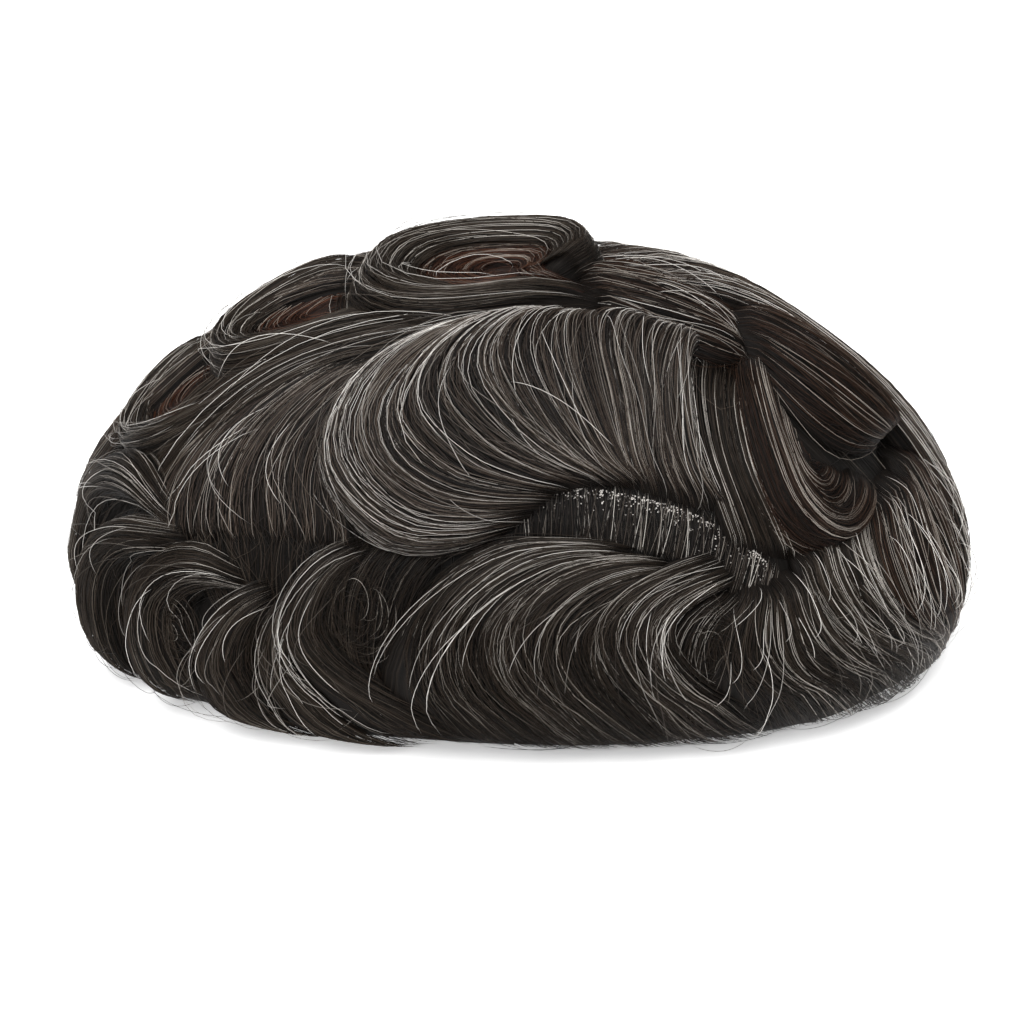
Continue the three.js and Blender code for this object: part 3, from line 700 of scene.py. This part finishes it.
WAVE_SEED = 31
wave_cells = {"wave_outer": 18, "wave_second": 18, "wave_middle": 18, "wave_fourth": 14,
              "wave_inner": 13}
wave_edges = {"wave_outer": ("round", "flat"), "wave_inner": ("flat", "round")}
# The wave's strands take the lighter ramp, as painted light.
for number, (name, rows) in enumerate(wave_rows.items()):
    lock(name, rows, "parting_wave", wave_cells[name], WAVE_BENDS, WAVE_SEED + number, painted_light,
         wave_edges.get(name, FLAT))

# The roll behind the crown and the hooked curl under it, which turns round a dark hollow. Their
# hair is browner than the rest, and both are wound by hand and set.
HOOK_TURN, HOOK_RISE = 0.8, 0.38
roll_rows = shares({
    "back_top_lock": [
        (31, -9, 27, 13, 80), (36, -16, 35, 17, 110), (42, -20, 44, 17, 125),
        (48, -20, 52, 13, 125), (53, -16, 57.5, 7, 115), (56, -10, 58.5, 0, 90),
    ],
    "side_curl": [
        (31, -10, 35.5, -12, 80), (28.5, -18, 33.5, -19, 100), (29, -27, 34.5, -27, 110),
        (31, -35, 37, -33, 110), (35, -43, 39.5, -36.5, 110), (41, -46.5, 43, -38, 110),
        (47.5, -44.5, 46, -36.5, 100), (51.5, -37, 48, -32, 90), (53, -28, 49, -25, 80),
    ],
})
lock("back_top_lock", roll_rows["back_top_lock"], "back_top_lock", 18, 12, 41, auburn,
     ("slope", "slope"))
lock("side_curl", roll_rows["side_curl"], "side_curl", 15, 18, 42, auburn, ("slope", "falling"))
lock("side_curl_bowl", bowl_rows(roll_rows["side_curl"], HOOK_TURN, HOOK_RISE), "side_curl", 14, 16,
     43, auburn, ("falling", "falling"))

# The curls of the front and of the near hem. Each is a tapering lock that starts under the one
# before, rolls over and comes down to the surface, where its tips trail to the back.
FRONT_CELLS, FRONT_BENDS = 15, 16
FRONT_SEED = 51
front_rows = shares({
    "front_roll": [
        (-49, -39, -50, -42, 60), (-51, -27, -55, -32, 90), (-55, -16, -60, -24, 100),
        (-61, -6, -65, -17, 110), (-69, 3, -71, -12, 110), (-78, 6, -78, -11, 100),
        (-87, 4, -86, -14, 100), (-96, -2, -94, -20, 60),
    ],
    "front_curl": [
        (-47, -41, -47, -47, 60), (-54, -34, -54, -42, 90), (-61, -27, -61, -38, 105),
        (-69, -22, -67, -38, 110), (-78, -23, -73, -42, 105), (-85, -30, -77, -49, 100),
        (-88, -38, -79, -56, 60),
    ],
    "corner_curl": [
        (-40, -54, -40, -58, 60), (-45, -45, -45, -54, 90), (-52, -41, -50, -52, 105),
        (-60, -42, -55, -53, 110), (-68, -48, -58, -58, 110), (-73, -55, -60, -64, 100),
        (-74, -62, -60, -72, 60),
    ],
    "hem_curl": [
        (-36, -55, -36, -60, 60), (-43, -55, -41, -62, 90), (-50, -58, -45, -66, 105),
        (-57, -63, -48, -71, 110), (-61, -69, -49, -77, 100), (-59, -75, -46, -85, 60),
    ],
    "hem_lock": [
        (-34, -57, -30, -60, 60), (-40, -62, -35, -66, 85), (-44, -68, -37, -72, 95),
        (-46, -75, -37, -78, 95), (-46, -81, -35, -85, 90), (-44, -86, -33, -91, 50),
    ],
    "wave_curl": [
        (-22, -52, -20, -57, 60), (-29, -54, -25, -59, 90), (-35, -59, -28, -63, 105),
        (-38.5, -66, -30, -68, 110), (-38, -74, -29, -75, 105), (-35, -82, -26, -83, 100),
        (-31, -90, -22, -91, 50),
    ],
})
front_sweeps = {"hem_curl": 0.1, "hem_lock": 0.14, "wave_curl": 0.18}
# Their strands carry the painted shade.
for number, (name, rows) in enumerate(front_rows.items()):
    lock(name, rows, "front_curls", FRONT_CELLS, FRONT_BENDS, FRONT_SEED + number, dark_painted_shade,
         sweep=front_sweeps.get(name, 0))

# The largest wave of the near hem, in three locks that start under the parting, sweep forward and
# down, and turn back along the surface at their tips.
SIDE_CELLS, SIDE_BENDS = 19, 16
SIDE_SEED = 61
side_rows = shares({
    "side_outer": [
        (20, -55.5, 20, -58.5, 40), (8, -56.5, 10, -60, 70), (-3, -58, 3, -64, 100),
        (-14, -64, -4, -70, 115), (-22, -72, -8, -78, 120), (-26.5, -82, -8, -87, 110),
        (-25, -92, -4, -96, 60),
    ],
    "side_middle": [
        (25, -56.5, 27, -58, 40), (14, -58.5, 20, -61, 70), (4, -63, 14, -66, 95),
        (-3, -70, 10, -72, 105), (-6, -78, 10, -79, 110), (-4, -87, 13, -87, 100),
        (3, -96, 20, -94, 60),
    ],
    "side_inner": [
        (31, -52.5, 35, -56, 50), (23, -58, 30, -60, 85), (16.5, -64, 26, -65, 100),
        (13, -71, 25, -70, 105), (14, -79, 27, -76, 100), (18, -87, 32, -82, 90),
        (25, -93, 39, -87, 60),
    ],
})
side_edges = {"side_outer": ("round", "flat"), "side_inner": ("flat", "round")}
side_sweeps = {"side_outer": 0.2, "side_middle": 0.16, "side_inner": 0.2}
# Their strands carry the painted shade.
for number, (name, rows) in enumerate(side_rows.items()):
    lock(name, rows, "side_wave", SIDE_CELLS, SIDE_BENDS, SIDE_SEED + number, dark_painted_shade,
         side_edges.get(name, FLAT), side_sweeps[name])

# The locks that fall down the back, from the near hem round to the back of the head. Each lies a
# little over the next, and those behind the roll are browner.
BACK_CELLS, BACK_BENDS = 14, 14
BACK_SEED = 71
FIRST_BROWN_LOCK = 4
back_rows = shares({
    "back_sweep": [
        (35, -56, 39, -54, 60), (32, -64, 42, -60, 85), (31, -72, 46, -66, 100),
        (32, -80, 51, -71, 100), (34, -90, 60, -76, 60),
    ],
    "back_lock_one": [
        (39, -53, 43, -49, 60), (42, -59, 46, -55, 85), (47, -64, 52, -59, 100),
        (54, -69, 60, -62, 100), (62, -74, 71, -65, 60),
    ],
    "back_lock_two": [
        (41, -47, 45, -40, 60), (44, -53, 47, -47, 85), (50, -57, 54, -53, 100),
        (58, -60, 63, -56, 100), (72, -63, 78, -57, 60),
    ],
    "back_lock_three": [
        (45, -40, 49, -30, 60), (47, -47, 51, -40, 85), (54, -53, 58, -47, 100),
        (63, -56, 68, -50, 100), (78, -57, 83, -49, 60),
    ],
    "back_lock_four": [
        (50, -30, 57, -21, 60), (52, -40, 58, -33, 85), (59, -47, 64, -41, 100),
        (68, -50, 74, -44, 100), (83, -49, 88, -38, 60),
    ],
    "back_lock_five": [
        (56, -20, 61, -10, 70), (58, -31, 64, -22, 90), (65, -39, 70, -30, 100),
        (75, -42, 80, -33, 100), (88, -40, 93, -27, 60),
    ],
    "back_lock_six": [
        (58, -8, 62, 2, 70), (63, -20, 69, -8, 90), (71, -27, 77, -15, 100),
        (80, -31, 86, -20, 100), (92, -30, 96, -14, 60),
    ],
    "back_lock_seven": [
        (60, 2, 63, 13, 80), (69, -6, 73, 6, 100), (78, -13, 82, 0, 100),
        (86, -17, 90, -4, 100), (96, -17, 97, -3, 60),
    ],
})
back_edges = {"back_sweep": ("round", "flat")}
back_sweeps = {"back_sweep": 0.24, "back_lock_one": 0.26, "back_lock_two": 0.24,
               "back_lock_three": 0.2, "back_lock_four": 0.14, "back_lock_five": 0.08}
# The first locks carry the painted shade, and those behind the roll are browner.
for number, (name, rows) in enumerate(back_rows.items()):
    kind = auburn if number >= FIRST_BROWN_LOCK else dark_painted_shade
    lock(name, rows, "back_fall", BACK_CELLS, BACK_BENDS, BACK_SEED + number, kind,
         back_edges.get(name, FLAT), back_sweeps.get(name, 0))

# The waves of the far side, alike and side by side from the front round to the back. They are
# combed down from the curls in one slow bend, and their tips trail to the back as on the near side.
FAR_WAVES = 11
FAR_FROM, FAR_TO = math.radians(4), math.radians(173)
FAR_ROOT = 0.15
FAR_SWEEP = -0.25
FAR_OVERLAP = 0.05
FAR_SWING = math.radians(7)
FAR_RISES = [0.5, 0.95, 0.8, 0.95, 1.05, 0.6]
FAR_CELLS, FAR_BENDS = 12, 15
FAR_SEED = 81


def far_rows(index):
    """The rows of one far wave, from the curls down to the hem."""
    spacing = (FAR_TO - FAR_FROM) / FAR_WAVES
    first = FAR_FROM + spacing * (index - FAR_OVERLAP)
    rows = []
    for place, rise in enumerate(FAR_RISES):
        share = place / (len(FAR_RISES) - 1)
        reach = FAR_ROOT + (LOCK_END - FAR_ROOT) * share
        swing = FAR_SWING * math.sin(2 * math.pi * share + index)
        row = []
        for heading in (first + swing, first + swing + spacing * (1 + 2 * FAR_OVERLAP)):
            row += [reach * math.cos(heading), reach * math.sin(heading)]
        rows.append([*row, rise])
    return rows


# Their strands are painted lighter, as painted light, because the lamps light the far side less.
for index in range(FAR_WAVES):
    lock(f"far_wave_{index + 1}", far_rows(index), "far_waves", FAR_CELLS, FAR_BENDS,
         FAR_SEED + index, painted_light, FLAT, FAR_SWEEP)

# The low hair between the waves, which closes the gaps and is seen only deep between them. It is
# the top of the bed, combed the way of the locks beside it.
LOW_CELLS, LOW_BENDS = 12, 12
LOW_SEED = 101
low_rows = shares({
    "low_wave_end": [
        (25, -14, 31, -14, 40), (23.5, -25, 29, -25, 50), (25, -36, 31, -36, 50),
        (29, -45, 36, -44, 40), (33, -52, 41, -50, 30),
    ],
    "low_hem_gap": [
        (-10, -56, -22, -52, 40), (-16, -62, -27, -57, 50), (-20, -70, -30, -64, 50),
        (-22, -80, -31, -72, 50), (-20, -93, -28, -88, 40),
    ],
    "low_panel_end": [
        (-28, -50, -46, -36, 45), (-30, -56, -47, -44, 45), (-33, -62, -46, -52, 40),
        (-36, -70, -46, -62, 30),
    ],
    "low_side_gap": [
        (33, -57, 40, -56, 40), (27, -65, 36, -64, 50), (26, -73, 36, -71, 50),
        (29, -82, 40, -78, 45), (35, -90, 47, -84, 40),
    ],
})
# Their strands carry the painted shade of the hollows.
for number, (name, rows) in enumerate(low_rows.items()):
    lock(name, rows, "hair_bed", LOW_CELLS, LOW_BENDS, LOW_SEED + number, dark_painted_shade, FLAT)

# The parting: a narrow strip where the knots that hold each hair to the net show as pale dots, and
# from which short hairs run down under the near wave.
PART_FROM, PART_TO = 0.0, 0.43
PART_TOP, PART_FOOT = -0.478, -0.575
PART_TURN, PART_BEND, FOOT_FALL = 0.27, 1.5, 0.7
PART_RIPPLE, PART_RIPPLES = 0.02, 9
PART_CELLS = 22
PART_BENDS = 7
PART_JITTER, TOP_JITTER, PART_LEAN = 0.004, 0.006, 0.01
PART_LIFTS, PART_LIFT_POWER = (0.0003, 0.0014), 0.5
PART_RADII = 0.7, 1.2
PART_SEED = 111
KNOTS = 440
KNOT_RADIUS = 0.0002
KNOT_SIDES = 6
KNOT_BAND, KNOT_BAND_DROP = 0.02, 0.012
KNOT_PAD = 0.05
KNOTS_FROM, KNOTS_TO = PART_FROM + 0.02, PART_TO - 0.05
KNOT_REACHES = -1, -0.4
KNOT_LIFT = 0.0004
KNOT_SIZES = 0.7, 1.3
BEAD_END, BEAD_HALF = 0.8, 0.6
KNOT_STREAKS, KNOT_DEPTH, KNOT_SHEEN = (40.0, 40.0, 1.0), 0.00005, 0.5


def part_top(along):
    """The parting's upper side, which runs level and then turns down behind the wave."""
    bend = PART_BEND * np.maximum(along - PART_TURN, 0) ** 2
    return PART_TOP + PART_RIPPLE * np.sin(PART_RIPPLES * along) - bend


def part_paths(chance):
    """Short hairs that run down from the parting's upper side."""
    number = PART_CELLS ** 2
    along = np.linspace(PART_FROM, PART_TO, number) + chance.normal(0, PART_JITTER, number)
    share = np.linspace(0, 1, PART_BENDS)
    top = part_top(along) + chance.normal(0, TOP_JITTER, number)
    foot = PART_FOOT - FOOT_FALL * np.maximum(along - PART_TURN, 0)
    across = top[:, None] + (foot - top)[:, None] * share
    lean = chance.normal(0, PART_LEAN, number)[:, None] * share
    lift = chance.uniform(*PART_LIFTS, number)[:, None] * np.sin(np.pi * share) ** PART_LIFT_POWER
    return hair_point(along[:, None] + lean, across, LOCK_RISE - lift)


def knot_skin(chance):
    """The knots as small beads, most of them close under the parting's upper side."""
    along = chance.uniform(KNOTS_FROM, KNOTS_TO, KNOTS)
    below = np.abs(chance.normal(0, KNOT_BAND, KNOTS)) * chance.choice(KNOT_REACHES, KNOTS)
    across = part_top(along) - KNOT_BAND_DROP + below
    middles = hair_point(along, across, LOCK_RISE - KNOT_LIFT)
    turns = np.linspace(0, 2 * np.pi, KNOT_SIDES, endpoint=False)
    bead = np.stack([np.cos(turns), np.sin(turns), np.zeros(KNOT_SIDES)], -1)
    half = np.array([0, 0, BEAD_HALF])
    points, faces, flat = loft(np.stack([BEAD_END * bead - half, bead, BEAD_END * bead + half]))
    sizes = KNOT_RADIUS * chance.uniform(*KNOT_SIZES, KNOTS)
    grid = math.ceil(math.sqrt(KNOTS))
    cell = np.arange(KNOTS)
    corner = np.stack([cell % grid, cell // grid], -1)[:, None, None]
    return ((middles[:, None] + sizes[:, None, None] * points).reshape(-1, 3),
            (faces + len(points) * cell[:, None, None]).reshape(-1, 3),
            ((corner + KNOT_PAD + (1 - 2 * KNOT_PAD) * flat) / grid).reshape(-1, 3, 2))


part_chance = np.random.default_rng(PART_SEED)
part_radii = STRAND_RADIUS * part_chance.uniform(*PART_RADII, PART_CELLS ** 2)
part_skin = strand_skin(part_paths(part_chance), part_radii, part_chance.random(PART_CELLS ** 2))
part_material = strand_material(
    "parting_hairs",
    [(0, (8, 6, 5)), (0.5, (26, 21, 18)), (0.78, (52, 45, 39)), (0.9, (100, 93, 86)),
     (1, (190, 185, 178))], HAIR_SHEEN)
piece("parting_hairs", part_skin, part_material, "dark_hair")
knot_material = streaked_material("knots", KNOT_STREAKS, KNOT_DEPTH,
                                  [(0.3, (90, 82, 75)), (0.6, (235, 230, 224))], KNOT_SHEEN)
piece("parting_knots", knot_skin(part_chance), knot_material, "dark_hair")

# The loose hairs: strays that stand off the waves in bows, most of them grey, ends that trail along
# the foot of the hem, and hairs that wind round in the hollows of three waves. They are finer than
# the rest.
STRAY_CELLS = 22
STRAY_BENDS = 14
HEM_CELLS = 7
TANGLE_CELLS = 8
STRAY_RADIUS, HEM_RADIUS = 0.00006, 0.00007
STRAY_SEED = 121
STRAY_SHEEN = 0.3
LAST_START, LEAST_RUN = 0.5, 0.25
STRAY_DRIFT, STRAY_CURVE = 0.35, 0.15
STRAY_HEIGHT, STRAY_LEAST, STRAY_MOST = 0.0028, 0.0006, 0.009
STRAY_BOWS = 0.5, 1.6
STRAY_CLEAR = 0.0008
HEM_HEADINGS, HEM_RUNS = (-2.9, -0.35), (0.1, 0.32)
HEM_FEET, HEM_BOW, HEM_LIFT = (0.88, 0.955), 0.06, 0.0025
TANGLE_ALONG, TANGLE_ACROSS = 0.8, 1.3
TANGLE_TURNS, TANGLE_REACHES = (1.2, 3.6), (0.35, 1)
TANGLE_GROWTH, TANGLE_SPREAD = 0.3, 0.25
TANGLE_LIFT, TANGLE_LIFTS = 0.006, (-0.001, 0.0015)


def stray_paths(chance, locks):
    """Hairs that leave their lock part of the way down, cross over it and come back to it."""
    number = STRAY_CELLS ** 2
    names = list(locks)
    share = np.linspace(0, 1, STRAY_BENDS)
    paths = []
    for _ in range(number):
        rows = locks[names[chance.integers(len(names))]]
        first = chance.uniform(0, LAST_START)
        way = first + chance.uniform(LEAST_RUN, 1 - first) * share
        side = chance.uniform(0, 1) + chance.normal(0, STRAY_DRIFT) * share
        side = side + chance.normal(0, STRAY_CURVE) * share ** 2
        height = min(abs(chance.normal(0, STRAY_HEIGHT)) + STRAY_LEAST, STRAY_MOST)
        lift = height * np.sin(np.pi * share ** chance.uniform(*STRAY_BOWS)) + STRAY_CLEAR
        paths.append(lock_point(rows, way, side, lift, ("round", "round")))
    return np.array(paths)


def hem_paths(chance):
    """Loose ends that trail along the foot of the hem."""
    number = HEM_CELLS ** 2
    share = np.linspace(0, 1, STRAY_BENDS)
    heading = chance.uniform(*HEM_HEADINGS, number)[:, None]
    heading = heading + chance.uniform(*HEM_RUNS, number)[:, None] * share
    foot = chance.uniform(*HEM_FEET, number)[:, None]
    reach = foot - chance.uniform(0, HEM_BOW, number)[:, None] * (2 * share - 1) ** 2
    lift = chance.uniform(0, HEM_LIFT, number)[:, None] * np.sin(np.pi * share)
    return hair_point(reach * np.cos(heading), reach * np.sin(heading), EDGE_RISE - lift)


def tangle_paths(chance, along, across, size, number):
    """Hairs that wind loosely round in the hollow of a wave."""
    share = np.linspace(0, 1, STRAY_BENDS)
    turn = chance.uniform(0, 2 * np.pi, number)[:, None]
    turn = turn + chance.uniform(*TANGLE_TURNS, number)[:, None] * share
    reach = size * chance.uniform(*TANGLE_REACHES, number)[:, None]
    reach = reach * (1 + chance.normal(0, TANGLE_GROWTH, number)[:, None] * share)
    spread = TANGLE_SPREAD * size
    along = along + chance.normal(0, spread, number)[:, None]
    across = across + chance.normal(0, spread, number)[:, None]
    lift = TANGLE_LIFT + chance.uniform(*TANGLE_LIFTS, number)[:, None] * np.sin(np.pi * share)
    along, across = (along + TANGLE_ALONG * reach * np.cos(turn),
                     across + TANGLE_ACROSS * reach * np.sin(turn))
    return hair_point(along, across, LOCK_RISE - lift)


stray_locks = {**curls_rows, **wave_rows, **front_rows, **side_rows, **back_rows, **crown_rows}
stray_chance = np.random.default_rng(STRAY_SEED)
stray_number = STRAY_CELLS ** 2
stray_skin = strand_skin(stray_paths(stray_chance, stray_locks),
                         np.full(stray_number, STRAY_RADIUS), stray_chance.random(stray_number))
stray_material = strand_material(
    "stray_hairs", [(0, (36, 30, 26)), (0.4, (90, 83, 76)), (1, (235, 231, 225))], STRAY_SHEEN)
piece("stray_hairs", stray_skin, stray_material, "dark_hair")

hem_number = HEM_CELLS ** 2
hem_skin = strand_skin(hem_paths(stray_chance), np.full(hem_number, HEM_RADIUS),
                       stray_chance.random(hem_number))
# The hem hairs take the darker ramp, with its painted shade.
piece("hem_hairs", hem_skin, dark_painted_shade_strands, "dark_hair")

# Each tangle's middle on the pattern, along and across, and its size.
tangles = {"side_tangle": (0.31, -0.7, 0.06), "hem_tangle": (-0.24, -0.66, 0.06),
           "front_tangle": (-0.56, -0.56, 0.05)}
tangle_number = TANGLE_CELLS ** 2
tangle_radii = np.full(tangle_number, STRAY_RADIUS)
# The tangles take the darker ramp, with its painted shade.
for name, (along, across, size) in tangles.items():
    tangle = tangle_paths(stray_chance, along, across, size, tangle_number)
    tangle_skin = strand_skin(tangle, tangle_radii, stray_chance.random(tangle_number))
    piece(name, tangle_skin, dark_painted_shade_strands, "dark_hair")

# The floor is a plain pale sheet of paper that glows a little, so that the shadow on it stays
# faint. The light is soft and comes from all round, as in a light tent, and most of it from above.
FLOOR_SIZE = 12
FLOOR_WHITE, FLOOR_ROUGHNESS, FLOOR_SHEEN, FLOOR_GLOW = 0.95, 0.9, 0.1, 0.42
TENT_GLOW = 0.5
LIT_PLACE = 0, 0, 0.05
bpy.ops.mesh.primitive_plane_add(size=FLOOR_SIZE)
floor = bpy.context.object
floor.name = "floor"
floor_material, _, floor_shader = start_material("floor_paper", FLOOR_SHEEN)
floor_shader.inputs["Base Color"].default_value = (FLOOR_WHITE, FLOOR_WHITE, FLOOR_WHITE, 1)
floor_shader.inputs["Roughness"].default_value = FLOOR_ROUGHNESS
floor_shader.inputs["Emission Color"].default_value = (1, 1, 1, 1)
floor_shader.inputs["Emission Strength"].default_value = FLOOR_GLOW
floor.data.materials.append(floor_material)

world = bpy.data.worlds.new("light_tent")
world.use_nodes = True
world.node_tree.nodes["Background"].inputs["Color"].default_value = (1, 1, 1, 1)
world.node_tree.nodes["Background"].inputs["Strength"].default_value = TENT_GLOW
bpy.context.scene.world = world
bpy.context.scene.view_settings.view_transform = "Standard"


def soft_light(name, place, size, power):
    """A rectangular lamp turned to the middle of the piece."""
    lamp = bpy.data.lights.new(name, "AREA")
    lamp.shape = "RECTANGLE"
    lamp.size, lamp.size_y = size
    lamp.energy = power
    made = bpy.data.objects.new(name, lamp)
    made.location = place
    made.rotation_euler = (Vector(LIT_PLACE) - Vector(place)).to_track_quat("-Z", "Y").to_euler()
    bpy.context.scene.collection.objects.link(made)


soft_light("top_light", (-0.15, -0.5, 1.6), (2.5, 2.2), 63)
soft_light("front_light", (-0.5, -1.5, 1.0), (0.7, 0.7), 5)

# The camera stands over a metre away on the near side and looks down on the piece a little, through
# a long lens that shows it whole.
CAMERA_TILT = math.radians(27)
CAMERA_DISTANCE = 1.1
AIM = (-0.0013, 0.0, 0.0301)
SENSOR_WIDTH, LENS = 36, 144.3
camera_data = bpy.data.cameras.new("camera")
camera_data.sensor_width = SENSOR_WIDTH
camera_data.lens = LENS
camera = bpy.data.objects.new("camera", camera_data)
camera.location = (AIM[0], AIM[1] - CAMERA_DISTANCE * math.cos(CAMERA_TILT),
                   AIM[2] + CAMERA_DISTANCE * math.sin(CAMERA_TILT))
camera.rotation_euler = (math.pi / 2 - CAMERA_TILT, 0, 0)
bpy.context.scene.collection.objects.link(camera)
bpy.context.scene.camera = camera
